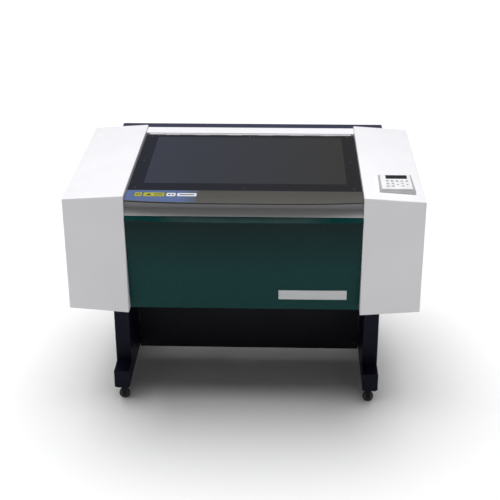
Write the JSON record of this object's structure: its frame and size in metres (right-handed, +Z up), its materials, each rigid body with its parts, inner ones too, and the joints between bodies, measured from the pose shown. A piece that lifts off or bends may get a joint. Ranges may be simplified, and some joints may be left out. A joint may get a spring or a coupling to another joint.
{
  "type": "laser cutter",
  "caption": "Floor-standing flatbed laser cutter with a glazed lift-up lid between two side casings, a drop-down door, a lifting bed and a stand on casters.",
  "frame": {"origin": "on the floor, under the middle of the whole machine's box", "axes": "+Z up, +X to the operator's right along the machine's width, +Y away from the operator; the operator stands at -Y"},
  "size_m": [1.22, 0.9744, 0.8791],
  "materials": {
    "casing_white": "smooth white powder coat",
    "door_green": "deep green gloss coat",
    "stand_navy": "near-black navy satin coat",
    "panel_black": "black satin coat",
    "rail_metal": "warm grey brushed anodised",
    "trim_metal": "grey brushed, slightly mirrored",
    "lid_frame_coat": "dark satin coat",
    "lid_glass": "dark tinted polished glass",
    "tube_glass": "clear borosilicate",
    "chamber_coat": "matt grey coat",
    "bright_steel": "ground steel",
    "raw_aluminium": "satin anodised",
    "strut_coat": "black semi-gloss",
    "caster_tread": "matt black",
    "key_plastic": "fine-textured",
    "keypad_plastic": "fine-textured white",
    "screen_black": "dark polished window",
    "inlet_plastic": "black moulded"
  },
  "bodies": {
    "machine": {"left_casing": "casing_white", "right_casing": "casing_white", "left_chamber_wall": "chamber_coat", "right_chamber_wall": "chamber_coat", "back_panel": "chamber_coat", "floor_pan": "chamber_coat", "front_cross_rail": "trim_metal", "rear_cross_rail": "casing_white", "tube_housing": "stand_navy", "tube_cover": "stand_navy", "laser_tube": "tube_glass", "exhaust_spigot": "bright_steel", "modesty_panel": "panel_black", "left_leg": "stand_navy", "right_leg": "stand_navy", "left_y_rail": "bright_steel", "right_y_rail": "bright_steel", "keypad_housing": "keypad_plastic", "keypad_screen": "screen_black", "power_inlet": "inlet_plastic", "laser_power_supply": "raw_aluminium"},
    "lid": {"lid_frame": "lid_frame_coat", "lid_glass": "lid_glass", "lid_front_rail": "rail_metal"},
    "front_door": {"front_door": "door_green"},
    "left_strut_cylinder": {"left_strut_cylinder": "strut_coat"},
    "right_strut_cylinder": {"right_strut_cylinder": "strut_coat"},
    "left_strut_rod": {"left_strut_rod": "bright_steel"},
    "right_strut_rod": {"right_strut_rod": "bright_steel"},
    "gantry": {"gantry_beam": "raw_aluminium"},
    "laser_head": {"laser_head": "lid_frame_coat"},
    "drive_shaft": {"drive_shaft": "bright_steel"},
    "bed": {"bed_frame": "raw_aluminium", "honeycomb_panel": "raw_aluminium"},
    "power_switch": {"power_switch": "inlet_plastic"},
    "front_left_lift_screw": {"front_left_lift_screw": "bright_steel"},
    "front_right_lift_screw": {"front_right_lift_screw": "bright_steel"},
    "rear_left_lift_screw": {"rear_left_lift_screw": "bright_steel"},
    "rear_right_lift_screw": {"rear_right_lift_screw": "bright_steel"},
    "front_left_caster_fork": {"front_left_caster_fork": "panel_black"},
    "front_left_caster_wheel": {"front_left_caster_wheel": "caster_tread"},
    "rear_left_caster_fork": {"rear_left_caster_fork": "panel_black"},
    "rear_left_caster_wheel": {"rear_left_caster_wheel": "caster_tread"},
    "front_right_caster_fork": {"front_right_caster_fork": "panel_black"},
    "front_right_caster_wheel": {"front_right_caster_wheel": "caster_tread"},
    "rear_right_caster_fork": {"rear_right_caster_fork": "panel_black"},
    "rear_right_caster_wheel": {"rear_right_caster_wheel": "caster_tread"},
    "key_row_1": {"key_row_1": "key_plastic"},
    "key_row_2": {"key_row_2": "key_plastic"},
    "key_row_3": {"key_row_3": "key_plastic"},
    "key_row_4": {"key_row_4": "key_plastic"},
    "key_row_5": {"key_row_5": "key_plastic"},
    "key_side_1": {"key_side_1": "key_plastic"},
    "key_side_2": {"key_side_2": "key_plastic"},
    "key_side_3": {"key_side_3": "key_plastic"},
    "key_side_4": {"key_side_4": "key_plastic"},
    "key_left": {"key_left": "key_plastic"},
    "key_right": {"key_right": "key_plastic"},
    "key_up": {"key_up": "key_plastic"},
    "key_down": {"key_down": "key_plastic"}
  },
  "joints": [
    {"name": "lid_hinge", "type": "hinge", "parent": "machine", "child": "lid", "pos_m": [0, 0.2104, 0.8545], "axis": [-1, 0, 0], "range_deg": [0, 65]},
    {"name": "left_strut_pivot", "type": "hinge", "parent": "machine", "child": "left_strut_cylinder", "pos_m": [-0.389, 0.16057, 0.65776], "axis": [-1, 0, 0], "range_deg": [0, 32.7]},
    {"name": "left_strut_stroke", "type": "slide", "parent": "left_strut_cylinder", "child": "left_strut_rod", "axis": [0, -0.6793, 0.7339], "range_m": [0, 0.14879]},
    {"name": "right_strut_pivot", "type": "hinge", "parent": "machine", "child": "right_strut_cylinder", "pos_m": [0.389, 0.16057, 0.65776], "axis": [-1, 0, 0], "range_deg": [0, 32.7]},
    {"name": "right_strut_stroke", "type": "slide", "parent": "right_strut_cylinder", "child": "right_strut_rod", "axis": [0, -0.6793, 0.7339], "range_m": [0, 0.14879]},
    {"name": "front_door_hinge", "type": "hinge", "parent": "machine", "child": "front_door", "pos_m": [0, -0.424, 0.436], "axis": [1, 0, 0], "range_deg": [0, 90]},
    {"name": "gantry_travel", "type": "slide", "parent": "machine", "child": "gantry", "axis": [0, 1, 0], "range_m": [-0.4, 0]},
    {"name": "head_travel", "type": "slide", "parent": "gantry", "child": "laser_head", "axis": [1, 0, 0], "range_m": [-0.6, 0]},
    {"name": "drive_shaft_spin", "type": "hinge", "parent": "machine", "child": "drive_shaft", "pos_m": [0, 0.24, 0.755], "axis": [1, 0, 0], "continuous": true},
    {"name": "bed_lift", "type": "slide", "parent": "machine", "child": "bed", "axis": [0, 0, 1], "range_m": [-0.12, 0.015]},
    {"name": "front_left_screw_spin", "type": "hinge", "parent": "machine", "child": "front_left_lift_screw", "pos_m": [-0.33, -0.335, 0.4383], "axis": [0, 0, 1], "continuous": true},
    {"name": "front_right_screw_spin", "type": "hinge", "parent": "machine", "child": "front_right_lift_screw", "pos_m": [0.33, -0.335, 0.4383], "axis": [0, 0, 1], "continuous": true},
    {"name": "rear_left_screw_spin", "type": "hinge", "parent": "machine", "child": "rear_left_lift_screw", "pos_m": [-0.33, 0.115, 0.4383], "axis": [0, 0, 1], "continuous": true},
    {"name": "rear_right_screw_spin", "type": "hinge", "parent": "machine", "child": "rear_right_lift_screw", "pos_m": [0.33, 0.115, 0.4383], "axis": [0, 0, 1], "continuous": true},
    {"name": "front_left_caster_swivel", "type": "hinge", "parent": "machine", "child": "front_left_caster_fork", "pos_m": [-0.461, -0.336, 0.05], "axis": [0, 0, 1], "continuous": true},
    {"name": "front_left_wheel_roll", "type": "hinge", "parent": "front_left_caster_fork", "child": "front_left_caster_wheel", "pos_m": [-0.456, -0.336, 0.02], "axis": [0, 1, 0], "continuous": true},
    {"name": "rear_left_caster_swivel", "type": "hinge", "parent": "machine", "child": "rear_left_caster_fork", "pos_m": [-0.461, 0.246, 0.05], "axis": [0, 0, 1], "continuous": true},
    {"name": "rear_left_wheel_roll", "type": "hinge", "parent": "rear_left_caster_fork", "child": "rear_left_caster_wheel", "pos_m": [-0.456, 0.246, 0.02], "axis": [0, 1, 0], "continuous": true},
    {"name": "front_right_caster_swivel", "type": "hinge", "parent": "machine", "child": "front_right_caster_fork", "pos_m": [0.461, -0.336, 0.05], "axis": [0, 0, 1], "continuous": true},
    {"name": "front_right_wheel_roll", "type": "hinge", "parent": "front_right_caster_fork", "child": "front_right_caster_wheel", "pos_m": [0.456, -0.336, 0.02], "axis": [0, 1, 0], "continuous": true},
    {"name": "rear_right_caster_swivel", "type": "hinge", "parent": "machine", "child": "rear_right_caster_fork", "pos_m": [0.461, 0.246, 0.05], "axis": [0, 0, 1], "continuous": true},
    {"name": "rear_right_wheel_roll", "type": "hinge", "parent": "rear_right_caster_fork", "child": "rear_right_caster_wheel", "pos_m": [0.456, 0.246, 0.02], "axis": [0, 1, 0], "continuous": true},
    {"name": "key_row_1_press", "type": "slide", "parent": "machine", "child": "key_row_1", "axis": [0, 0, -1], "range_m": [0, 0.0008], "stiffness_N_per_m": 400},
    {"name": "key_row_2_press", "type": "slide", "parent": "machine", "child": "key_row_2", "axis": [0, 0, -1], "range_m": [0, 0.0008], "stiffness_N_per_m": 400},
    {"name": "key_row_3_press", "type": "slide", "parent": "machine", "child": "key_row_3", "axis": [0, 0, -1], "range_m": [0, 0.0008], "stiffness_N_per_m": 400},
    {"name": "key_row_4_press", "type": "slide", "parent": "machine", "child": "key_row_4", "axis": [0, 0, -1], "range_m": [0, 0.0008], "stiffness_N_per_m": 400},
    {"name": "key_row_5_press", "type": "slide", "parent": "machine", "child": "key_row_5", "axis": [0, 0, -1], "range_m": [0, 0.0008], "stiffness_N_per_m": 400},
    {"name": "key_side_1_press", "type": "slide", "parent": "machine", "child": "key_side_1", "axis": [0, 0, -1], "range_m": [0, 0.0008], "stiffness_N_per_m": 400},
    {"name": "key_side_2_press", "type": "slide", "parent": "machine", "child": "key_side_2", "axis": [0, 0, -1], "range_m": [0, 0.0008], "stiffness_N_per_m": 400},
    {"name": "key_side_3_press", "type": "slide", "parent": "machine", "child": "key_side_3", "axis": [0, 0, -1], "range_m": [0, 0.0008], "stiffness_N_per_m": 400},
    {"name": "key_side_4_press", "type": "slide", "parent": "machine", "child": "key_side_4", "axis": [0, 0, -1], "range_m": [0, 0.0008], "stiffness_N_per_m": 400},
    {"name": "key_left_press", "type": "slide", "parent": "machine", "child": "key_left", "axis": [0, 0, -1], "range_m": [0, 0.0008], "stiffness_N_per_m": 400},
    {"name": "key_right_press", "type": "slide", "parent": "machine", "child": "key_right", "axis": [0, 0, -1], "range_m": [0, 0.0008], "stiffness_N_per_m": 400},
    {"name": "key_up_press", "type": "slide", "parent": "machine", "child": "key_up", "axis": [0, 0, -1], "range_m": [0, 0.0008], "stiffness_N_per_m": 400},
    {"name": "key_down_press", "type": "slide", "parent": "machine", "child": "key_down", "axis": [0, 0, -1], "range_m": [0, 0.0008], "stiffness_N_per_m": 400},
    {"name": "power_rocker", "type": "hinge", "parent": "machine", "child": "power_switch", "pos_m": [0.56, 0.278, 0.539], "axis": [-1, 0, 0], "range_deg": [0, 14]}
  ],
  "couplings": [
    {"joint": "left_strut_pivot", "follows": "lid_hinge", "ratio": 0.5},
    {"joint": "left_strut_stroke", "follows": "lid_hinge", "m_per_rad": 0.13071},
    {"joint": "right_strut_pivot", "follows": "lid_hinge", "ratio": 0.5},
    {"joint": "right_strut_stroke", "follows": "lid_hinge", "m_per_rad": 0.13071},
    {"joint": "drive_shaft_spin", "follows": "gantry_travel", "rad_per_m": -78.74},
    {"joint": "front_left_screw_spin", "follows": "bed_lift", "rad_per_m": 628.32},
    {"joint": "front_right_screw_spin", "follows": "bed_lift", "rad_per_m": 628.32},
    {"joint": "rear_left_screw_spin", "follows": "bed_lift", "rad_per_m": 628.32},
    {"joint": "rear_right_screw_spin", "follows": "bed_lift", "rad_per_m": 628.32}
  ]
}
